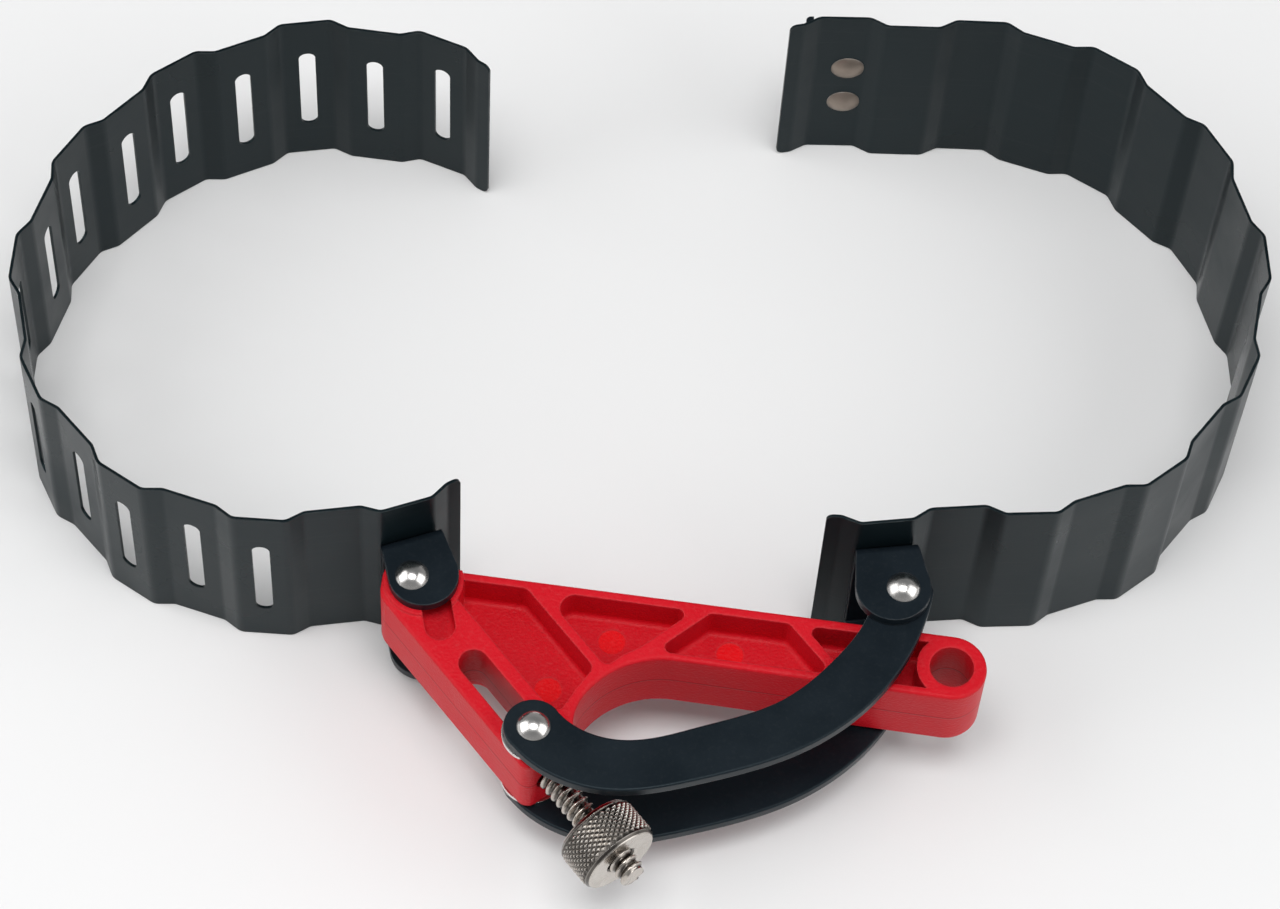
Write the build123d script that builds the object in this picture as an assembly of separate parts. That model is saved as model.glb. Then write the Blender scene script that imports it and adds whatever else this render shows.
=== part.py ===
"""Two-band oil filter wrench: a moulded handle, two corrugated steel bands and a screw-set lever.

Millimetres, +Z up, bands standing on z = 0. Everything is drawn about the handle's elbow and
moved once, at the end, so that the row's origin is the bottom centre of its bounding box.
"""

from build123d import *

import os
from math import cos, radians, sin, tan

# where the drawing's own zero, the handle's elbow, stands in the row frame
ELBOW = (-35.295, -43.988)

# bands
BAND_W = 45.0
BAND_T = 0.6
FLATS = 17
FLAT_OUT = 10.2
FLAT_IN = 10.7
PITCH = 13.9
DEPTH = 1.9
FLANGE = 2.8
CREASE_R = 2.5
CORNER_R = 1.6
SLOT_W = 3.4
SLOT_H = 24.6
SLOTTED = 15
LEFT_START = (-2.4, 8.8)
LEFT_TURN = ((0, -153.5), (2, -176.0), (6, -237.3), (10, -295.9), (13, -329.1), (16, -375.1))
RIGHT_START = (88.1, 18.7)
RIGHT_TURN = ((0, 14.0), (2, 10.0), (4, 45.0), (8, 99.8), (13, 168.8), (14, 186.0), (16, 187.5))

# handle
MID_Z = BAND_W / 2
HANDLE_T = 17.0
BACK_Y = 3.65
LEFT_X = -5.9
HANG = (103.7, -3.05)
HANG_R = 4.2
BOSS_R = 6.7
POCKET = 7.5
FLOOR_R = 1.0
EJECTORS = ((39.0, -3.25), (61.7, -2.7), (28.3, -15.25))
EJECTOR_R = 2.7
PAD = (2.0, 0.6)
PAD_R = 7.7
PAD_RISE = 0.5
LEG_N = -1.0
LEG_OUT = -6.75
LEG_IN = 4.6
LEG_END = 45.0
SLOT_TOP = 20.9
PIN_U = 39.5
SLIDE_W = 5.8
WELL_R = 4.3
WELL = 4.0
BORE_R = 3.1

# brackets, levers, pins
CLIP_T = 2.0
CLIP_R = 6.75
BEND_R = 1.8
LOW_EAR = 4.6
SHANK_R = 2.0
RUN = 0.05
HEAD_R = 3.25
HEAD_H = 1.9
HINGE_1 = (-0.1, 0.1)
HINGE_2 = (92.75, 9.6)
HOOK_RIVETS = (16.1, 28.0)
TONGUE_T = 1.6
TONGUE_W = 22.0
TONGUE_Z = 12.0
ARM_T = 2.5
ARM_GAP = 1.0
WASHER_R = 6.0
WASHER_T = 0.8
BARREL_R = 2.75
SPACER_R = 3.4

# screw and knurled nut, measured along the leg from the elbow
SCREW_R = 2.8
ROOT_R = 2.25
THREAD = 1.65
SCREW_END = 71.2
NUT_START = 57.4
NUT_END = 67.9
NUT_R = 8.3

TOP = MID_Z + HANDLE_T / 2


def leg(u, n=LEG_N):
    """A point on the leg: u along it from the elbow, n across it."""
    c = cos(radians(45))
    return (c * (u + n), c * (n - u))


def unit(angle):
    return Vector(cos(radians(angle)), sin(radians(angle)))


def heading(k, table):
    """Direction of flat k, read between the table's entries; the end flanges copy their neighbour."""
    k = min(max(k, 0), FLATS - 1)
    for (k0, a0), (k1, a1) in zip(table, table[1:]):
        if k <= k1:
            return a0 + (a1 - a0) * (k - k0) / (k1 - k0)
    return table[-1][1]


def flats(start, table, side):
    """Middle, direction and outward normal of every flat, flange half-flats included."""
    out = []
    middle = Vector(*start) - unit(heading(0, table) + 90 * side) * (DEPTH / 2)
    for k in range(FLATS):
        angle = heading(k, table)
        if k:
            middle = middle + unit((angle + heading(k - 1, table)) / 2) * PITCH
        normal = unit(angle + 90 * side)
        lift = DEPTH / 2 if k % 2 == 0 else -DEPTH / 2
        out.append((middle + normal * lift, unit(angle), normal))
    return out


def creases(cells):
    """The strip's middle line: two creases for each flat and a short flange at each end."""
    points = []
    for k, (middle, along, _) in enumerate(cells):
        half = (FLAT_OUT if k % 2 == 0 else FLAT_IN) / 2
        points += [middle - along * half, middle + along * half]
    run = PITCH - (FLAT_OUT + FLAT_IN) / 2
    first, last = cells[0], cells[-1]
    knee_a = points[0] - first[1] * run - first[2] * DEPTH
    knee_b = points[-1] + last[1] * run - last[2] * DEPTH
    tip_a = knee_a - first[1] * FLANGE - first[2] * 0.5
    tip_b = knee_b + last[1] * FLANGE - last[2] * 0.5
    return [tip_a, knee_a] + points + [knee_b, tip_b]


def side_edges(points, shift):
    """Lines and tangent arcs along the creases, moved sideways by shift."""
    edges = []
    left = [Vector(-(b - a).Y, (b - a).X).normalized() for a, b in zip(points, points[1:])]
    pen = points[0] + left[0] * shift
    for i in range(1, len(points) - 1):
        ahead = (points[i + 1] - points[i]).normalized()
        behind = (points[i] - points[i - 1]).normalized()
        turn = behind.X * ahead.Y - behind.Y * ahead.X
        sign = 1 if turn > 0 else -1
        reach = CREASE_R * tan(radians(behind.get_angle(ahead)) / 2)
        into = points[i] - behind * reach
        away = points[i] + ahead * reach
        centre = into + left[i - 1] * (sign * CREASE_R)
        middle = centre + (points[i] - centre).normalized() * (CREASE_R - sign * shift)
        begin = into + left[i - 1] * shift
        finish = away + left[i] * shift
        edges += [Line(pen, begin), ThreePointArc(begin, middle, finish)]
        pen = finish
    return edges + [Line(pen, points[-1] + left[-1] * shift)]


def strip(cells):
    """A corrugated band: the bent strip, extruded to its width, with its end corners rounded."""
    points = creases(cells)
    one = side_edges(points, BAND_T / 2)
    two = side_edges(points, -BAND_T / 2)
    caps = [Line(one[0] @ 0, two[0] @ 0), Line(one[-1] @ 1, two[-1] @ 1)]
    body = extrude(make_face(one + two + caps), BAND_W)
    short = body.edges().filter_by(lambda e: abs(e.length - BAND_T) < 0.02)
    return fillet(short, CORNER_R)


def outline(points, radii):
    """A polygon face with one fillet radius per corner."""
    face = make_face(Polyline(*points, close=True))
    for point, radius in zip(points, radii):
        if radius:
            corner = face.vertices().sort_by_distance(Vector(*point))[0]
            face = fillet(corner, radius)
    return face


def rod(at, radius, z0, z1):
    return Pos(at[0], at[1], z0) * extrude(Circle(radius), z1 - z0)


def sleeve(at, z0, z1, bore):
    return rod(at, SPACER_R, z0, z1) - rod(at, bore, z0 - 1, z1 + 1)


def leg_rod(radius, u0, u1):
    """A cylinder along the leg's screw axis."""
    x, y = leg(u0)
    plane = Plane((x, y, MID_Z), x_dir=(0, 0, 1), z_dir=(1, -1, 0))
    return plane * extrude(Circle(radius), u1 - u0)


def both_faces(face, depth, floor_r=0.0):
    """A cutter that sinks a face to one depth into the handle from its top and its underside."""
    cutter = Pos(0, 0, TOP - depth) * extrude(face, depth + 1)
    if floor_r:
        cutter = fillet(cutter.edges().group_by(Axis.Z)[0], floor_r)
    return [cutter, cutter.mirror(Plane.XY.offset(MID_Z))]


def rivet(at, low, high, shank=SHANK_R, head=HEAD_R, rise=HEAD_H):
    """A round-head rivet on a vertical axis, its heads bearing on low and high."""
    ball = (head * head + rise * rise) / (2 * rise)
    crown = rod((0, 0), head, 0, rise) & Pos(0, 0, rise - ball) * Sphere(ball)
    pin = rod((0, 0), shank, low, high)
    return Pos(at[0], at[1], 0) * (pin + Pos(0, 0, high) * crown + Pos(0, 0, low) * crown.mirror(Plane.XY))


def make_handle():
    tip = leg(LEG_END, LEG_IN)
    heel = leg(LEG_END, LEG_OUT)
    elbow = (LEFT_X, 2 ** 0.5 * LEG_OUT - LEFT_X)
    low = Vector(HANG[0], HANG[1] - BOSS_R)
    high = Vector(HANG[0], BACK_Y)
    brow = Vector(52.0, -9.2)
    upper = TangentArc(brow, (35.5, -19.0), tangent=brow - low)
    lower = TangentArc(upper @ 1, tip, tangent=upper % 1)
    nose = ThreePointArc(low, (HANG[0] + BOSS_R, HANG[1]), high)
    rest = Polyline(high, (LEFT_X, BACK_Y), elbow, heel, tip)
    face = make_face([upper, lower, Line(brow, low), nose] + list(rest.edges()))
    for point, radius in (((LEFT_X, BACK_Y), 3.0), (elbow, 5.0), (heel, 2.4), (tip, 1.4)):
        corner = face.vertices().sort_by_distance(Vector(*point))[0]
        face = fillet(corner, radius)
    body = Pos(0, 0, TOP - HANDLE_T) * extrude(face, HANDLE_T)
    rims = body.edges().group_by(Axis.Z)[0] + body.edges().group_by(Axis.Z)[-1]
    body = fillet(rims, 0.6)

    palm = outline(
        [(8.6, 1.9), (21.7, 1.9), (36.6, -13.0), (33.7, -18.4), (31.6, -23.0), (29.6, -22.9), (8.5, -1.8)],
        [1.5, 2.2, 1.8, 0, 1.5, 1.5, 1.8],
    )
    web = outline([(24.4, 1.9), (53.9, 1.7), (44.8, -7.4), (41.8, -9.5), (38.8, -12.5)], [2.9, 1.3, 1.5, 0, 1.5])
    arm = outline([(57.1, 1.7), (72.1, 1.7), (81.7, -7.9), (47.5, -7.9)], [1.5, 1.5, 1.3, 1.3])
    tail = outline([(74.8, 1.7), (100, 1.7), (100, -8.2), (84.7, -8.2)], [1.3, 0, 0, 1.5])
    tail = tail - Pos(*HANG) * Circle(BOSS_R)
    for pocket in (palm, web, arm, tail):
        body = body - both_faces(pocket, POCKET, FLOOR_R)
    for at in EJECTORS:
        body = body - both_faces(Pos(*at) * Circle(EJECTOR_R), POCKET + 0.12)
    pad = rod(PAD, PAD_R, TOP - HANDLE_T - PAD_RISE, TOP + PAD_RISE)
    body = body + (fillet(pad.edges().filter_by(GeomType.CIRCLE), 0.3) & extrude(face, BAND_W))
    relief = make_hull((Pos(4.6, -2.5) * Circle(2.9)).edges() + (Pos(6.6, -8.6) * Circle(2.9)).edges())
    body = body - both_faces(relief, 3.2, 1.0)

    for at, radius in ((HANG, HANG_R), (HINGE_1, SHANK_R + RUN)):
        body = body - rod(at, radius, 0, BAND_W)
    for radius, roof in ((SLIDE_W / 2, BAND_W), (WELL_R, TOP - HANDLE_T + WELL)):
        ends = [Pos(*leg(u)) * Circle(radius) for u in (SLOT_TOP, PIN_U + 0.1)]
        body = body - extrude(make_hull(ends[0].edges() + ends[1].edges()), roof)
    return body - leg_rod(BORE_R, PIN_U, LEG_END + 5)


def make_clip(cell, at, gap, fold, ear, tip_r=CLIP_R):
    """A folded bracket on one flat: back plate, an ear either side of the gap, and the rivet holes."""
    middle, along, normal = cell
    frame = Plane((middle.X, middle.Y, 0), x_dir=(normal.Y, -normal.X, 0), z_dir=(0, 0, 1))
    low, high = gap[0] - CLIP_T, gap[1] + CLIP_T
    y0, y1 = BAND_T / 2, 24.0
    ring = Plane.YZ * Polyline((y1, low), (y0, low), (y0, high), (y1, high), close=True)
    block = extrude(make_face(ring), 10, both=True)
    knees = block.edges().filter_by(Axis.X).sort_by(Axis.Y)[:2]
    block = fillet(knees, BEND_R)
    y0 = y0 + CLIP_T
    ring = Plane.YZ * Polyline(
        (y1 + 1, low + CLIP_T), (y0, low + CLIP_T), (y0, high - CLIP_T), (y1 + 1, high - CLIP_T), close=True
    )
    core = extrude(make_face(ring), 11, both=True)
    core = fillet(core.edges().filter_by(Axis.X).sort_by(Axis.Y)[:2], 0.4)
    root = Line((fold[0], 0), (fold[1], 0))
    shape = make_hull([root.edge(), (Pos(*ear) * Circle(tip_r)).edge()])
    bent = frame * ((block - core) & extrude(shape, BAND_W))
    return bent - rod(at, SHANK_R, 0, BAND_W)


def make_arm(z0):
    """One curved lever arm, from the slide pin's eye to the second clip's rivet."""
    pin = leg(PIN_U)
    far = HINGE_2
    lower = Spline(
        (pin[0] - 3.3, pin[1] - 4.6),
        (30.8, -37.75),
        (41.0, -39.85),
        (59.4, -35.05),
        (77.3, -26.05),
        (91.2, -11.8),
        (97.9, 5.15),
        (far[0] + 5.9, far[1] + 1.0),
    )
    upper = Spline(
        (far[0] - 5.7, far[1] + 0.5),
        (85.9, 1.55),
        (82.2, -5.25),
        (72.1, -16.75),
        (58.0, -24.15),
        (43.6, -29.05),
        (34.9, -27.45),
        (pin[0] + 3.6, pin[1] + 4.2),
    )
    back = ThreePointArc(lower @ 1, (far[0], far[1] + 5.8), upper @ 0)
    nose = ThreePointArc(upper @ 1, (pin[0] - 3.7, pin[1] + 4.2), lower @ 0)
    blade = extrude(make_face([lower, back, upper, nose]), ARM_T)
    rims = blade.edges().group_by(Axis.Z)[0] + blade.edges().group_by(Axis.Z)[-1]
    blade = Pos(0, 0, z0) * fillet(rims, 0.35)
    for at in (pin, far):
        blade = blade - rod(at, SHANK_R + RUN, z0 - 1, z0 + ARM_T + 1)
    return blade


def make_screw():
    """The adjusting screw, its coarse thread drawn as even ridges."""
    start = PIN_U + 2.2
    points = [(0, 0), (0, ROOT_R)]
    u = 1.0
    while u + THREAD < SCREW_END - start - 0.6:
        points += [(u, ROOT_R), (u + 0.5, SCREW_R), (u + 0.95, SCREW_R), (u + 1.45, ROOT_R)]
        u += THREAD
    end = SCREW_END - start
    points += [(u, ROOT_R), (u + 0.3, SCREW_R), (end - 0.4, SCREW_R), (end, SCREW_R - 0.4), (end, 0)]
    bar = revolve(make_face(Polyline(*points, close=True)), Axis.X)
    x, y = leg(start)
    return Plane((x, y, MID_Z), x_dir=(1, -1, 0), z_dir=(0, 0, 1)) * bar


def make_hook(cell):
    """The tongue riveted outside the hooked band's last flat, turned out at its end."""
    middle, along, normal = cell
    frame = Plane((middle.X, middle.Y, 0), x_dir=along, z_dir=along.cross(normal))
    base, reach, out = -4.6, 7.1, 8.3
    y0 = BAND_T / 2
    face = make_face(
        Polyline(
            (base, y0), (reach, y0), (reach, out), (reach - TONGUE_T, out), (reach - TONGUE_T, y0 + TONGUE_T),
            (base, y0 + TONGUE_T), close=True,
        )
    )
    bends = ((reach, y0, 2.4), (reach - TONGUE_T, y0 + TONGUE_T, 0.8), (reach, out, 1.0))
    for x, y, radius in bends:
        face = fillet(face.vertices().sort_by_distance(Vector(x, y))[0], radius)
    blank = frame * extrude(face, TONGUE_W)
    return Pos(0, 0, TONGUE_Z - blank.bounding_box().min.Z) * blank


left_cells = flats(LEFT_START, LEFT_TURN, 1)
right_cells = flats(RIGHT_START, RIGHT_TURN, -1)

slotted = strip(left_cells)
for middle, along, normal in left_cells[FLATS - SLOTTED:]:
    plane = Plane((middle.X, middle.Y, MID_Z), x_dir=(0, 0, 1), z_dir=normal)
    slotted = slotted - plane * extrude(SlotOverall(SLOT_H, SLOT_W), 2, both=True)

hooked = strip(right_cells)
hook = make_hook(right_cells[-1])
bolts = []
for z in HOOK_RIVETS:
    middle, along, normal = right_cells[-1]
    spot = middle - along * 1.7
    axis = Plane((spot.X, spot.Y, z), z_dir=normal)
    hooked = hooked - axis * extrude(Circle(SHANK_R), 2, both=True)
    hook = hook - axis * extrude(Circle(SHANK_R), 4, both=True)
    bolts.append(axis * rivet((0, 0), -BAND_T / 2, BAND_T / 2 + TONGUE_T, head=3.45, rise=1.3))

pin_xy = leg(PIN_U)
arm_z = TOP + ARM_GAP
under = BAND_W - arm_z - ARM_T
gap_1 = (LOW_EAR, TOP + PAD_RISE + 0.1)
gap_2 = (under - 0.2, arm_z + ARM_T + 0.2)
play = (ARM_GAP - WASHER_T) / 2

ring = Circle(WASHER_R) - Circle(SHANK_R + RUN)
washers = [
    Pos(pin_xy[0], pin_xy[1], z) * extrude(ring, WASHER_T)
    for z in (TOP + play, TOP - HANDLE_T - play - WASHER_T)
]
barrel = rod(pin_xy, BARREL_R, TOP - HANDLE_T + 0.2, TOP - 0.2) - rod(pin_xy, SHANK_R + RUN, 0, BAND_W)
nut = leg_rod(NUT_R, NUT_START, NUT_END)
nut = chamfer(nut.edges().filter_by(GeomType.CIRCLE), 0.9)

parts = {
    "handle": make_handle(),
    "band_slotted": slotted,
    "band_hooked": hooked,
    "hook_tongue": hook,
    "hook_rivets": bolts,
    "clip_slotted": make_clip(left_cells[0], HINGE_1, gap_1, (-6.6, 5.4), (-0.3, 9.25)),
    "clip_hooked": make_clip(right_cells[0], HINGE_2, gap_2, (-6.4, 5.4), (-0.45, 9.65), 7.2),
    "rivet_slotted": rivet(HINGE_1, gap_1[0] - CLIP_T, gap_1[1] + CLIP_T),
    "rivet_hooked": rivet(HINGE_2, gap_2[0] - CLIP_T, gap_2[1] + CLIP_T),
    "rivet_slide": rivet(pin_xy, under - 0.1, arm_z + ARM_T + 0.1),
    "lever_top": make_arm(arm_z),
    "lever_bottom": make_arm(under),
    "lever_spacer": sleeve(HINGE_2, under + ARM_T, arm_z, SHANK_R + RUN),
    "pivot_sleeve": sleeve(HINGE_1, LOW_EAR, TOP - HANDLE_T - PAD_RISE - 0.1, SHANK_R),
    "slide_washers": washers,
    "slide_barrel": barrel - leg_rod(ROOT_R, PIN_U + 1.5, PIN_U + 5),
    "adjuster_screw": make_screw(),
    "knurled_nut": nut - leg_rod(SCREW_R + RUN, NUT_START - 1, NUT_END + 1),
}

os.makedirs("parts", exist_ok=True)
for name, shape in parts.items():
    solids = [s for piece in (shape if isinstance(shape, list) else [shape]) for s in piece.solids()]
    placed = Pos(ELBOW[0], ELBOW[1], 0) * Compound(children=solids)
    export_step(placed if len(solids) > 1 else placed.solids()[0], f"parts/{name}.step")
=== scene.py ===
"""Two-band oil filter wrench: finishes, screw thread, knurled nut, studio and camera."""

from math import cos, pi, radians, sin

import bpy
from mathutils import Matrix, Vector


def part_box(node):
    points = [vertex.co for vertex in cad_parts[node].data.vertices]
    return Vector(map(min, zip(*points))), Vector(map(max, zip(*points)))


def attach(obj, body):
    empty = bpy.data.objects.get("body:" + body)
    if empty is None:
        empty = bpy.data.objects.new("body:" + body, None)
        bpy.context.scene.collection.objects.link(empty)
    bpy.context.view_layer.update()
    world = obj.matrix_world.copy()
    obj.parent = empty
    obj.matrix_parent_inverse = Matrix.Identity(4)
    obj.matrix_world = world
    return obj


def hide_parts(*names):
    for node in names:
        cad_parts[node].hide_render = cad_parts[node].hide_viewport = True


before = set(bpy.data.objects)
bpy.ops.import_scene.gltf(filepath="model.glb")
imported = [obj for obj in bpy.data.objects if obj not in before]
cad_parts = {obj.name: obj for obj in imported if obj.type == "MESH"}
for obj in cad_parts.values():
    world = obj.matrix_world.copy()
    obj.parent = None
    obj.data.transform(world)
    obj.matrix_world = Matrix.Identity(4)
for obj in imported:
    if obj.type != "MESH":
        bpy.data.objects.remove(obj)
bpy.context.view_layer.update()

MM = 0.001

# the handle's elbow in the shared frame, and the ejector marks on its pocket floors, from the elbow
ELBOW = Vector((-35.295, -43.988, 0)) * MM
EJECTORS = ((39.0, -3.25), (61.7, -2.7), (28.3, -15.25))
EJECTOR_R = 2.7 * MM

# the leg's direction, and a point on the screw's axis below the elbow, halfway up the handle
LEG_WAY = Vector((cos(pi / 4), -sin(pi / 4), 0))
AXIS_POINT = ELBOW + Vector((-cos(pi / 4), -cos(pi / 4), 22.5)) * MM


# ---------------------------------------------------------------- node helpers
class Graph:
    """A node tree with short ways to add nodes and join them."""

    def __init__(self, tree):
        self.tree = tree

    def add(self, kind, **values):
        node = self.tree.nodes.new(kind)
        for key, value in values.items():
            if hasattr(node, key):
                setattr(node, key, value)
            else:
                self.set(node, key.replace("_", " "), value)
        return node

    def set(self, node, name, value):
        if hasattr(value, "is_output"):
            self.tree.links.new(value, node.inputs[name])
        else:
            node.inputs[name].default_value = value

    def math(self, operation, a, b=0.0, clamp=False):
        node = self.tree.nodes.new("ShaderNodeMath")
        node.operation = operation
        node.use_clamp = clamp
        for socket, value in zip(node.inputs, (a, b)):
            if hasattr(value, "is_output"):
                self.tree.links.new(value, socket)
            else:
                socket.default_value = value
        return node.outputs[0]

    def span(self, value, low, high, to_low=0.0, to_high=1.0, smooth=True):
        node = self.add("ShaderNodeMapRange", interpolation_type="SMOOTHSTEP" if smooth else "LINEAR")
        for name, v in (("From Min", low), ("From Max", high), ("To Min", to_low), ("To Max", to_high)):
            self.set(node, name, v)
        self.set(node, "Value", value)
        return node.outputs["Result"]

    def mix(self, factor, a, b):
        node = self.add("ShaderNodeMix", data_type="RGBA")
        for index, value in ((0, factor), (6, a), (7, b)):
            if hasattr(value, "is_output"):
                self.tree.links.new(value, node.inputs[index])
            else:
                node.inputs[index].default_value = value
        return node.outputs[2]

    def noise(self, vector, scale, detail=3.0, rough=0.5):
        node = self.add("ShaderNodeTexNoise")
        self.set(node, "Vector", vector)
        self.set(node, "Scale", scale)
        self.set(node, "Detail", detail)
        self.set(node, "Roughness", rough)
        return node.outputs["Fac"]


def group(name, inputs, outputs):
    """An empty shader group with named inputs and float outputs, a Graph on it, and its two ends."""
    tree = bpy.data.node_groups.new(name, "ShaderNodeTree")
    for label, value in inputs:
        kind = "NodeSocketVector" if value is None else "NodeSocketFloat"
        socket = tree.interface.new_socket(label, in_out="INPUT", socket_type=kind)
        if value is not None:
            socket.default_value = value
    for label in outputs:
        tree.interface.new_socket(label, in_out="OUTPUT", socket_type="NodeSocketFloat")
    return Graph(tree), tree.nodes.new("NodeGroupInput"), tree.nodes.new("NodeGroupOutput")


def edge_wear_and_highlight_group():
    """Where a surface turns sharply (Edge), and that broken up by noise (Mask); Edge alone also serves as a
    painted rim highlight.
    """
    inputs = [("Vector", None), ("Width", 0.0005), ("Break Up", 400.0), ("Amount", 1.0)]
    g, i, o = group("Edge Wear and Highlight", inputs, ["Mask", "Edge"])
    bevel = g.add("ShaderNodeBevel", samples=6)
    g.set(bevel, "Radius", i.outputs["Width"])
    geometry = g.add("ShaderNodeNewGeometry")
    dot = g.add("ShaderNodeVectorMath", operation="DOT_PRODUCT")
    g.tree.links.new(bevel.outputs[0], dot.inputs[0])
    g.tree.links.new(geometry.outputs["Normal"], dot.inputs[1])
    edge = g.span(g.math("SUBTRACT", 1.0, dot.outputs["Value"]), 0.015, 0.16)
    spots = g.span(g.noise(i.outputs["Vector"], i.outputs["Break Up"], 4.0, 0.6), 0.35, 0.65)
    mask = g.math("MULTIPLY", g.math("MULTIPLY", edge, spots), i.outputs["Amount"], clamp=True)
    g.tree.links.new(mask, o.inputs["Mask"])
    g.tree.links.new(edge, o.inputs["Edge"])
    return g.tree


def grain_group():
    """Fine surface grain: a height, and a slow mottle for colour and roughness."""
    g, i, o = group("Grain", [("Vector", None), ("Fine", 2500.0), ("Slow", 60.0)], ["Height", "Mottle"])
    fine = g.noise(i.outputs["Vector"], i.outputs["Fine"], 2.0, 0.55)
    slow = g.noise(i.outputs["Vector"], i.outputs["Slow"], 4.0, 0.55)
    g.tree.links.new(fine, o.inputs["Height"])
    g.tree.links.new(slow, o.inputs["Mottle"])
    return g.tree


def scratch_group():
    """Faint long marks running one way."""
    inputs = [("Vector", None), ("Length", 60.0), ("Fine", 1800.0), ("Amount", 1.0)]
    g, i, o = group("Scratches", inputs, ["Mask"])
    stretch = g.add("ShaderNodeVectorMath", operation="MULTIPLY")
    g.tree.links.new(i.outputs["Vector"], stretch.inputs[0])
    size = g.add("ShaderNodeCombineXYZ")
    for axis in ("X", "Y"):
        g.set(size, axis, i.outputs["Length"])
    g.set(size, "Z", i.outputs["Fine"])
    g.tree.links.new(size.outputs[0], stretch.inputs[1])
    lines = g.span(g.noise(stretch.outputs[0], 1.0, 2.0, 0.5), 0.6, 0.72)
    g.tree.links.new(g.math("MULTIPLY", lines, i.outputs["Amount"]), o.inputs["Mask"])
    return g.tree


def dust_group():
    """Thin dust that settles on upward faces."""
    g, i, o = group("Dust", [("Vector", None), ("Scale", 220.0), ("Amount", 0.1)], ["Mask"])
    geometry = g.add("ShaderNodeNewGeometry")
    up = g.add("ShaderNodeSeparateXYZ")
    g.tree.links.new(geometry.outputs["Normal"], up.inputs[0])
    facing = g.span(up.outputs["Z"], 0.2, 0.9)
    specks = g.span(g.noise(i.outputs["Vector"], i.outputs["Scale"], 5.0, 0.7), 0.48, 0.75)
    settled = g.math("MULTIPLY", facing, specks)
    g.tree.links.new(g.math("MULTIPLY", settled, i.outputs["Amount"]), o.inputs["Mask"])
    return g.tree


EDGE_WEAR_AND_HIGHLIGHT = edge_wear_and_highlight_group()
GRAIN = grain_group()
SCRATCHES = scratch_group()
DUST = dust_group()


class Finish:
    """A material under construction: object coordinates, a rounded normal and the shader."""

    def __init__(self, name, rounding=0.3):
        self.material = bpy.data.materials.new(name)
        self.material.use_nodes = True
        tree = self.material.node_tree
        tree.nodes.clear()
        self.g = Graph(tree)
        self.shader = self.g.add("ShaderNodeBsdfPrincipled")
        out = self.g.add("ShaderNodeOutputMaterial")
        tree.links.new(self.shader.outputs[0], out.inputs[0])
        self.where = self.g.add("ShaderNodeTexCoord").outputs["Object"]
        bevel = self.g.add("ShaderNodeBevel", samples=6)
        self.g.set(bevel, "Radius", rounding * MM)
        self.normal = bevel.outputs[0]

    def use(self, tree, **values):
        node = self.g.add("ShaderNodeGroup")
        node.node_tree = tree
        self.g.set(node, "Vector", self.where)
        for key, value in values.items():
            self.g.set(node, key.replace("_", " "), value)
        return node.outputs

    def bump(self, height, depth, strength=1.0):
        node = self.g.add("ShaderNodeBump")
        self.g.set(node, "Height", height)
        self.g.set(node, "Distance", depth * MM)
        self.g.set(node, "Strength", strength)
        self.g.set(node, "Normal", self.normal)
        self.normal = node.outputs[0]

    def finish(self, **values):
        self.g.set(self.shader, "Normal", self.normal)
        for key, value in values.items():
            self.g.set(self.shader, key.replace("_", " "), value)
        return self.material


def ejector_marks(f):
    """A mask of the round, smoother ejector marks on the pocket floors."""
    g, mask = f.g, 0.0
    flat = g.add("ShaderNodeVectorMath", operation="MULTIPLY")
    g.tree.links.new(f.where, flat.inputs[0])
    flat.inputs[1].default_value = (1, 1, 0)
    for x, y in EJECTORS:
        away = g.add("ShaderNodeVectorMath", operation="DISTANCE")
        g.tree.links.new(flat.outputs[0], away.inputs[0])
        away.inputs[1].default_value = (ELBOW.x + x * MM, ELBOW.y + y * MM, 0)
        disc = g.span(away.outputs["Value"], EJECTOR_R * 0.85, EJECTOR_R * 1.05, 1.0, 0.0)
        mask = g.math("MAXIMUM", disc, mask)
    return mask


def red_plastic():
    f = Finish("red moulded plastic", 0.7)
    g = f.g
    grain = f.use(GRAIN, Fine=1700.0, Slow=45.0)
    edge_wear_and_highlight = f.use(EDGE_WEAR_AND_HIGHLIGHT, Width=0.6 * MM, Break_Up=300.0)
    dust = f.use(DUST, Scale=900.0, Amount=0.03)
    low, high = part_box("handle")
    split = g.add("ShaderNodeSeparateXYZ")
    g.set(split, "Vector", f.where)
    off = g.math("ABSOLUTE", g.math("SUBTRACT", split.outputs["Z"], (low.z + high.z) / 2))
    seam = g.span(off, 0.08 * MM, 0.30 * MM, 1.0, 0.0)
    color = g.mix(grain["Mottle"], (0.52, 0.004, 0.011, 1), (0.64, 0.007, 0.018, 1))
    # painted highlight: every rim of the handle is lightened towards pink, standing for light caught on the
    # rounded rims
    color = g.mix(g.math("MULTIPLY", edge_wear_and_highlight["Edge"], 0.30), color, (0.80, 0.09, 0.10, 1))
    color = g.mix(g.math("MULTIPLY", seam, 0.55), color, (0.22, 0.002, 0.006, 1))
    color = g.mix(g.math("MULTIPLY", ejector_marks(f), 0.75), color, (0.78, 0.003, 0.006, 1))
    color = g.mix(dust["Mask"], color, (0.75, 0.45, 0.43, 1))
    f.bump(seam, 0.12, 0.8)
    f.bump(grain["Height"], 0.16, 0.9)
    rough = g.span(grain["Mottle"], 0.3, 0.7, 0.38, 0.50)
    return f.finish(Base_Color=color, Roughness=rough, IOR=1.26, Specular_IOR_Level=0.5)


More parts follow.
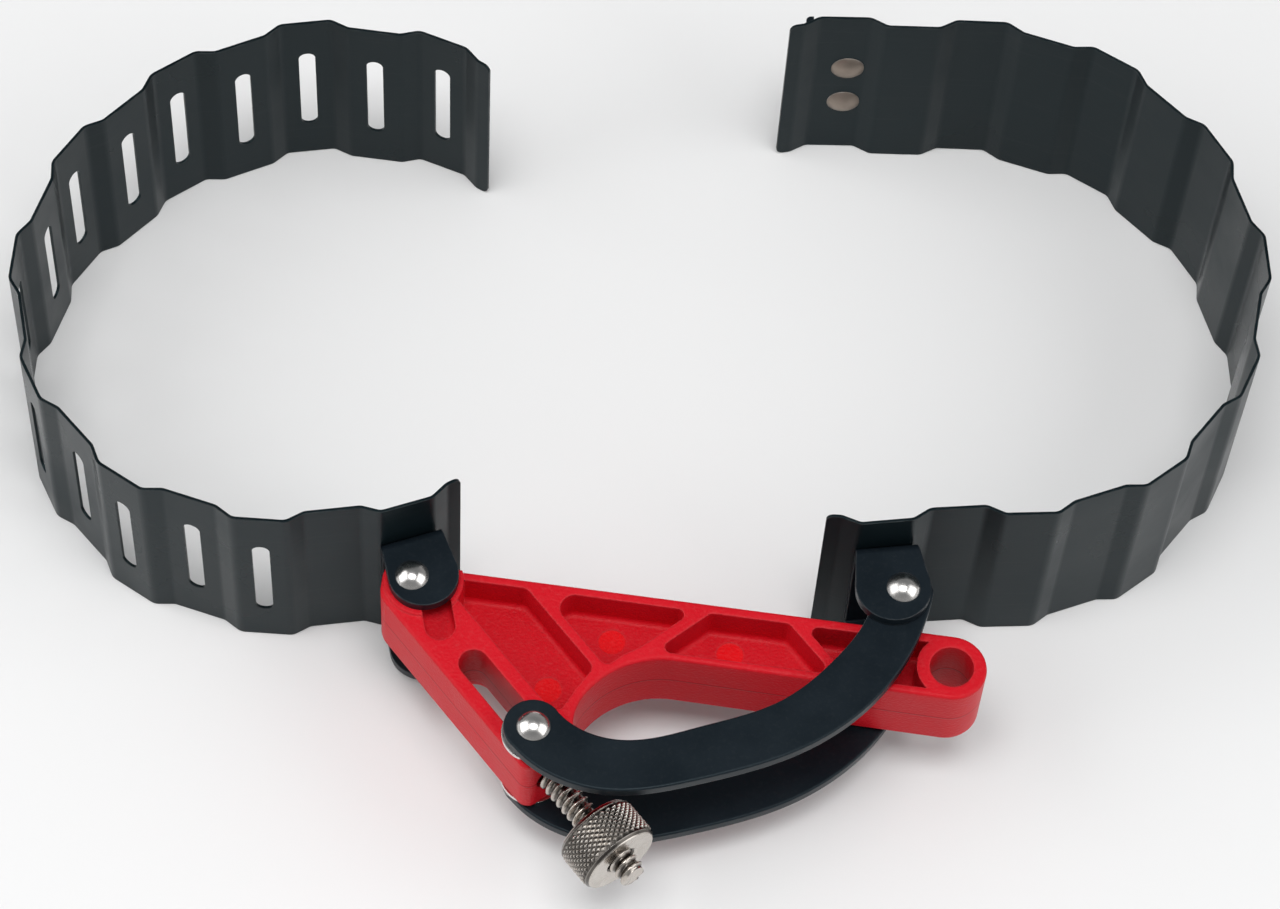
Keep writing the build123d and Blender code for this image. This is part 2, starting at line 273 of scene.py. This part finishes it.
def band_steel():
    f = Finish("blackened spring steel", 0.2)
    g = f.g
    grain = f.use(GRAIN, Fine=1400.0, Slow=38.0)
    edge_wear_and_highlight = f.use(EDGE_WEAR_AND_HIGHLIGHT, Width=0.35 * MM, Break_Up=260.0)
    marks = f.use(SCRATCHES, Length=40.0, Fine=1500.0, Amount=0.5)
    dust = f.use(DUST, Scale=700.0, Amount=0.03)
    color = g.mix(grain["Mottle"], (0.001, 0.003, 0.004, 1), (0.007, 0.013, 0.016, 1))
    color = g.mix(g.math("MULTIPLY", edge_wear_and_highlight["Mask"], 0.35), color, (0.13, 0.13, 0.13, 1))
    color = g.mix(g.math("MULTIPLY", marks["Mask"], 0.05), color, (0.12, 0.12, 0.12, 1))
    color = g.mix(dust["Mask"], color, (0.3, 0.3, 0.3, 1))
    f.bump(grain["Mottle"], 0.12, 0.25)
    f.bump(grain["Height"], 0.02, 0.3)
    rough = g.span(grain["Mottle"], 0.3, 0.7, 0.26, 0.40)
    return f.finish(
        Base_Color=color, Roughness=rough, IOR=1.4, Specular_IOR_Level=0.28, Specular_Tint=(0.66, 0.93, 1.0, 1)
    )


def black_oxide():
    f = Finish("black oxide steel", 0.35)
    g = f.g
    grain = f.use(GRAIN, Fine=1800.0, Slow=90.0)
    edge_wear_and_highlight = f.use(EDGE_WEAR_AND_HIGHLIGHT, Width=0.45 * MM, Break_Up=240.0)
    dust = f.use(DUST, Scale=1100.0, Amount=0.025)
    color = g.mix(grain["Mottle"], (0.004, 0.007, 0.010, 1), (0.008, 0.012, 0.017, 1))
    # lighter grey on the edges: partly worn oxide, partly a painted highlight along the thin lever edges
    color = g.mix(g.math("MULTIPLY", edge_wear_and_highlight["Mask"], 0.40), color, (0.15, 0.15, 0.15, 1))
    color = g.mix(dust["Mask"], color, (0.2, 0.2, 0.2, 1))
    f.bump(grain["Mottle"], 0.06, 0.25)
    f.bump(grain["Height"], 0.03, 0.5)
    rough = g.span(grain["Mottle"], 0.3, 0.7, 0.30, 0.42)
    return f.finish(
        Base_Color=color, Roughness=rough, Specular_IOR_Level=0.22, Specular_Tint=(0.72, 0.92, 1.0, 1)
    )


def groove_shade(f, root, crest, start, end):
    """A mask of the grooves cut round the leg's axis: 1 at the root radius, 0 at the crest."""
    g = f.g
    shift = g.add("ShaderNodeVectorMath", operation="SUBTRACT")
    g.tree.links.new(f.where, shift.inputs[0])
    shift.inputs[1].default_value = AXIS_POINT
    cross = g.add("ShaderNodeVectorMath", operation="CROSS_PRODUCT")
    run = g.add("ShaderNodeVectorMath", operation="DOT_PRODUCT")
    out = g.add("ShaderNodeVectorMath", operation="LENGTH")
    for node in (cross, run):
        g.tree.links.new(shift.outputs[0], node.inputs[0])
        node.inputs[1].default_value = LEG_WAY
    g.tree.links.new(cross.outputs[0], out.inputs[0])
    deep = g.span(out.outputs["Value"], root * MM, crest * MM, 1.0, 0.0)
    first = g.math("GREATER_THAN", run.outputs["Value"], start * MM)
    last = g.math("LESS_THAN", run.outputs["Value"], end * MM)
    return g.math("MULTIPLY", deep, g.math("MULTIPLY", first, last))


def bright_metal(name, light, dark, rough_low, rough_high, depth, grooves=None):
    f = Finish(name, 0.12)
    g = f.g
    grain = f.use(GRAIN, Fine=1600.0, Slow=240.0)
    edge_wear_and_highlight = f.use(EDGE_WEAR_AND_HIGHLIGHT, Width=0.3 * MM, Break_Up=500.0)
    color = g.mix(grain["Mottle"], light, dark)
    color = g.mix(g.math("MULTIPLY", edge_wear_and_highlight["Mask"], 0.3), color, (0.9, 0.89, 0.87, 1))
    if grooves:
        color = g.mix(g.math("MULTIPLY", groove_shade(f, *grooves), 0.85), color, (0.035, 0.030, 0.026, 1))
    f.bump(grain["Mottle"], depth, 0.3)
    f.bump(grain["Height"], 0.01, 0.4)
    rough = g.span(grain["Mottle"], 0.3, 0.7, rough_low, rough_high)
    return f.finish(Base_Color=color, Roughness=rough, Metallic=1.0)


RED = red_plastic()
BAND = band_steel()
BLACK = black_oxide()
BRIGHT = bright_metal("bright rivet steel", (0.80, 0.78, 0.76, 1), (0.66, 0.64, 0.62, 1), 0.20, 0.30, 0.03)
DULL = bright_metal("dull rivet steel", (0.36, 0.30, 0.25, 1), (0.26, 0.22, 0.19, 1), 0.42, 0.55, 0.04)
# the grooved metals also take root radius, crest radius, start and end along the leg, in millimetres
KNURL = bright_metal(
    "nickel plate, knurled", (0.62, 0.58, 0.53, 1), (0.50, 0.46, 0.42, 1), 0.20, 0.30, 0.03,
    grooves=(7.75, 8.12, 58.5, 66.8),
)
THREAD = bright_metal(
    "nickel plate, threaded", (0.60, 0.55, 0.50, 1), (0.46, 0.42, 0.38, 1), 0.20, 0.30, 0.03,
    grooves=(2.2, 2.65, 30.0, 70.4),
)

FINISHES = {
    "handle": RED,
    "band_slotted": BAND,
    "band_hooked": BAND,
    "hook_tongue": BLACK,
    "hook_rivets": DULL,
    "clip_slotted": BLACK,
    "clip_hooked": BLACK,
    "rivet_slotted": BRIGHT,
    "rivet_hooked": BRIGHT,
    "rivet_slide": BRIGHT,
    "lever_top": BLACK,
    "lever_bottom": BLACK,
    "lever_spacer": DULL,
    "pivot_sleeve": DULL,
    "slide_washers": BRIGHT,
    "slide_barrel": DULL,
    "adjuster_screw": THREAD,
    "knurled_nut": KNURL,
}
for name, material in FINISHES.items():
    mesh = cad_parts[name].data
    mesh.materials.clear()
    mesh.materials.append(material)


# ---------------------------------------------------------------- modelling helpers
def deselect():
    if bpy.context.object and bpy.context.object.mode != "OBJECT":
        bpy.ops.object.mode_set(mode="OBJECT")
    bpy.ops.object.select_all(action="DESELECT")


def pick(obj, test):
    """In edit mode, select just the vertices whose place passes the test."""
    bpy.ops.object.mode_set(mode="OBJECT")
    for part in (obj.data.polygons, obj.data.edges, obj.data.vertices):
        for item in part:
            item.select = False
    for vertex in obj.data.vertices:
        vertex.select = bool(test(vertex.co))
    bpy.ops.object.mode_set(mode="EDIT")
    bpy.ops.mesh.select_mode(type="VERT")


def apply_all(obj):
    for modifier in list(obj.modifiers):
        bpy.ops.object.modifier_apply(modifier=modifier.name)


def cylinder_of(node):
    """Centre, length and radius of a CAD cylinder that lies along the leg, from its box."""
    low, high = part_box(node)
    radius = (high.z - low.z) / 2
    length = (high.x - low.x) / cos(pi / 4) - 2 * radius
    return (low + high) / 2, length, radius


def stand_on_leg(obj, centre, length):
    """Lay a piece modelled up +Z from its foot along the leg, and settle its transform."""
    turn = LEG_WAY.to_track_quat("Z", "Y").to_matrix().to_4x4()
    obj.matrix_world = Matrix.Translation(centre - LEG_WAY * (length / 2)) @ turn
    deselect()
    obj.select_set(True)
    bpy.context.view_layer.objects.active = obj
    bpy.ops.object.transform_apply(location=True, rotation=True, scale=True)


def boundary(obj, test):
    """In edit mode, select the open edges whose vertices pass the test."""
    bpy.ops.mesh.select_mode(type="EDGE")
    bpy.ops.mesh.select_all(action="DESELECT")
    bpy.ops.mesh.select_non_manifold(extend=False, use_wire=False, use_boundary=True, use_multi_face=False)
    bpy.ops.object.mode_set(mode="OBJECT")
    points = obj.data.vertices
    for edge in obj.data.edges:
        if edge.select and not all(test(points[v].co) for v in edge.vertices):
            edge.select = False
    chosen = {v for edge in obj.data.edges if edge.select for v in edge.vertices}
    for vertex in points:
        vertex.select = vertex.index in chosen
    bpy.ops.object.mode_set(mode="EDIT")


def ring_out(scale, z_from, z_to):
    """Extrude the selected ring, scale it across the axis and move it to a new height."""
    bpy.ops.mesh.extrude_region_move(TRANSFORM_OT_translate={"value": (0, 0, z_to - z_from)})
    bpy.ops.transform.resize(value=(scale, scale, 1), center_override=(0, 0, z_to))


# ---------------------------------------------------------------- knurled nut
def knurled_nut():
    """One knurl pyramid, arrayed round and up the nut, then closed with chamfered ends and a bore."""
    centre, length, radius = cylinder_of("knurled_nut")
    count, rows = 34, 11
    step = pi / count
    root = radius - 0.55 * MM
    margin = 1.0 * MM
    half = (length - 2 * margin) / (rows + 1)
    deselect()
    bpy.ops.mesh.primitive_circle_add(vertices=4, radius=1.0, fill_type="TRIFAN", rotation=(0, pi / 2, 0))
    obj = bpy.context.object
    obj.scale = (half, root * sin(step), 1.0)
    bpy.ops.object.transform_apply(location=True, rotation=True, scale=True)
    obj.location = (root, 0, margin + half)
    bpy.ops.object.transform_apply(location=True, rotation=True, scale=True)
    bpy.ops.object.mode_set(mode="EDIT")
    pick(obj, lambda co: abs(co.y) > root * sin(step) / 2)
    bpy.ops.transform.translate(value=(-root * (1 - cos(step)), 0, 0))
    pick(obj, lambda co: abs(co.y) < 1e-6 and abs(co.z - margin - half) < half / 2)
    bpy.ops.transform.translate(value=(0.45 * MM, 0, 0))
    bpy.ops.object.mode_set(mode="OBJECT")

    around = bpy.data.objects.new("around", None)
    around.rotation_euler = (0, 0, 2 * step)
    upward = bpy.data.objects.new("upward", None)
    upward.rotation_euler = (0, 0, step)
    upward.location = (0, 0, half)
    for helper, copies in ((around, count), (upward, rows)):
        bpy.context.scene.collection.objects.link(helper)
        array = obj.modifiers.new("array", "ARRAY")
        array.use_relative_offset = False
        array.use_object_offset = True
        array.offset_object = helper
        array.count = copies
    bpy.context.view_layer.update()
    bpy.context.view_layer.objects.active = obj
    apply_all(obj)
    for helper in (around, upward):
        bpy.data.objects.remove(helper)

    bpy.ops.object.mode_set(mode="EDIT")
    bpy.ops.mesh.select_all(action="SELECT")
    bpy.ops.mesh.remove_doubles(threshold=0.02 * MM)
    bore = 2.85 * MM
    for low_end in (True, False):
        flat = margin * 0.9 if low_end else length - margin * 0.9
        face = 0.0 if low_end else length
        inward = 1 if low_end else -1
        boundary(obj, lambda co: (co.z < length / 2) == low_end)
        bpy.ops.mesh.extrude_region_move(TRANSFORM_OT_translate={"value": (0, 0, 0)})
        bpy.ops.transform.resize(value=(1, 1, 0), center_override=(0, 0, flat))
        ring_out((radius - 0.35 * MM) / root, flat, flat - inward * 0.15 * MM)
        ring_out((radius - 0.95 * MM) / (radius - 0.35 * MM), flat - inward * 0.15 * MM, face)
        ring_out((bore + 0.55 * MM) / (radius - 0.95 * MM), face, face)
        ring_out(bore / (bore + 0.55 * MM), face, face + inward * 0.5 * MM)
    bpy.ops.mesh.select_mode(type="EDGE")
    bpy.ops.mesh.select_all(action="DESELECT")
    bpy.ops.mesh.select_non_manifold(extend=False, use_wire=False, use_boundary=True, use_multi_face=False)
    bpy.ops.mesh.bridge_edge_loops()
    bpy.ops.mesh.select_all(action="SELECT")
    bpy.ops.mesh.normals_make_consistent(inside=False)
    bpy.ops.object.mode_set(mode="OBJECT")
    stand_on_leg(obj, centre, length)
    bpy.ops.object.shade_smooth_by_angle(angle=radians(22))
    obj.name = "nut_knurled"
    obj.data.materials.append(KNURL)
    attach(obj, "nut")
    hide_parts("knurled_nut")


# ---------------------------------------------------------------- adjuster screw
def adjuster_screw():
    """One turn of thread profile swept into a helix and cut flat at both ends."""
    centre, length, radius = cylinder_of("adjuster_screw")
    pitch = 1.65 * MM
    root = radius - 0.62 * MM
    # rise as a share of the pitch, and step outward in millimetres
    steps = [
        (0.25, 0.03), (0.17, 0.38), (0.10, 0.18), (0.10, 0.0), (0.10, -0.18), (0.17, -0.38), (0.11, -0.03),
    ]
    deselect()
    bpy.ops.mesh.primitive_plane_add(size=0.001)
    obj = bpy.context.object
    bpy.ops.object.mode_set(mode="EDIT")
    bpy.ops.mesh.select_all(action="SELECT")
    bpy.ops.mesh.merge(type="CENTER")
    bpy.ops.mesh.select_mode(type="VERT")
    bpy.ops.mesh.select_all(action="SELECT")
    bpy.ops.transform.translate(value=(root, 0, -2 * pitch))
    for rise, out in steps:
        bpy.ops.mesh.extrude_region_move(TRANSFORM_OT_translate={"value": (out * MM, 0, rise * pitch)})
    bpy.ops.object.mode_set(mode="OBJECT")
    thread = obj.modifiers.new("thread", "SCREW")
    thread.axis = "Z"
    thread.angle = 2 * pi
    thread.screw_offset = pitch
    thread.iterations = int(length / pitch) + 4
    thread.steps = 40
    thread.render_steps = 40
    thread.use_merge_vertices = True
    thread.merge_threshold = 0.02 * MM
    thread.use_normal_calculate = True
    apply_all(obj)
    bpy.ops.object.mode_set(mode="EDIT")
    bpy.ops.mesh.select_all(action="SELECT")
    bpy.ops.mesh.remove_doubles(threshold=0.01 * MM)
    for height, top in ((0.0, False), (length, True)):
        bpy.ops.mesh.select_all(action="SELECT")
        bpy.ops.mesh.bisect(
            plane_co=(0, 0, height), plane_no=(0, 0, 1), use_fill=True, clear_inner=not top, clear_outer=top
        )
    bpy.ops.mesh.select_all(action="SELECT")
    bpy.ops.mesh.normals_make_consistent(inside=False)
    bpy.ops.object.mode_set(mode="OBJECT")
    stand_on_leg(obj, centre, length)
    bpy.ops.object.shade_smooth_by_angle(angle=radians(50))
    obj.name = "screw_threaded"
    obj.data.materials.append(THREAD)
    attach(obj, "carriage")
    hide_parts("adjuster_screw")


knurled_nut()
adjuster_screw()


# ---------------------------------------------------------------- floor, light, camera
def floor():
    deselect()
    bpy.ops.mesh.primitive_plane_add(size=6.0, location=(0, 0, -0.0002))
    plane = bpy.context.object
    plane.name = "floor"
    paper = bpy.data.materials.new("pale paper")
    paper.use_nodes = True
    g = Graph(paper.node_tree)
    where = g.add("ShaderNodeTexCoord").outputs["Object"]
    tone = g.mix(g.noise(where, 3.0, 2.0), (0.83, 0.83, 0.83, 1), (0.86, 0.86, 0.86, 1))
    shader = paper.node_tree.nodes["Principled BSDF"]
    g.set(shader, "Base Color", tone)
    shader.inputs["Roughness"].default_value = 0.9
    shader.inputs["Specular IOR Level"].default_value = 0.1
    plane.data.materials.append(paper)


def softbox(name, place, aim, width, height, power):
    light = bpy.data.lights.new(name, "AREA")
    light.shape = "RECTANGLE"
    light.size = width
    light.size_y = height
    light.energy = power
    obj = bpy.data.objects.new(name, light)
    obj.location = place
    obj.rotation_euler = (Vector(aim) - Vector(place)).to_track_quat("-Z", "Y").to_euler()
    bpy.context.scene.collection.objects.link(obj)


floor()
softbox("left softbox", (-0.90, -0.15, 0.65), (0, 0, 0.02), 1.0, 1.0, 6.0)
softbox("right softbox", (0.95, -0.15, 0.65), (0, 0, 0.02), 1.0, 1.0, 5.5)
softbox("overhead", (0.0, -0.25, 1.3), (0, 0, 0.02), 0.8, 0.5, 9.5)

world = bpy.data.worlds.new("studio")
world.use_nodes = True
sky = Graph(world.node_tree)
up = sky.add("ShaderNodeSeparateXYZ")
sky.set(up, "Vector", sky.add("ShaderNodeTexCoord").outputs["Generated"])
shade = sky.mix(sky.span(up.outputs["Z"], 0.0, 0.9), (0.90, 0.90, 0.90, 1), (0.50, 0.51, 0.52, 1))
background = world.node_tree.nodes["Background"]
sky.set(background, "Color", shade)
background.inputs["Strength"].default_value = 0.36
bpy.context.scene.world = world
bpy.context.scene.view_settings.view_transform = "Standard"

pitch, roll, yaw = radians(59.558), radians(4.4246), radians(3.4485)
forward = Vector((-sin(yaw) * cos(pitch), cos(yaw) * cos(pitch), -sin(pitch)))
side = Vector((cos(yaw), sin(yaw), 0))
over = side.cross(forward)
right = side * cos(roll) + over * sin(roll)
upward = over * cos(roll) - side * sin(roll)
lens = bpy.data.cameras.new("camera")
lens.sensor_width = 36.0
lens.lens = 119.17
camera = bpy.data.objects.new("camera", lens)
camera.matrix_world = Matrix.Translation(ELBOW + Vector((64.417, -382.019, 740.87)) * MM) @ Matrix(
    (right, upward, -forward)
).transposed().to_4x4()
bpy.context.scene.collection.objects.link(camera)
bpy.context.scene.camera = camera
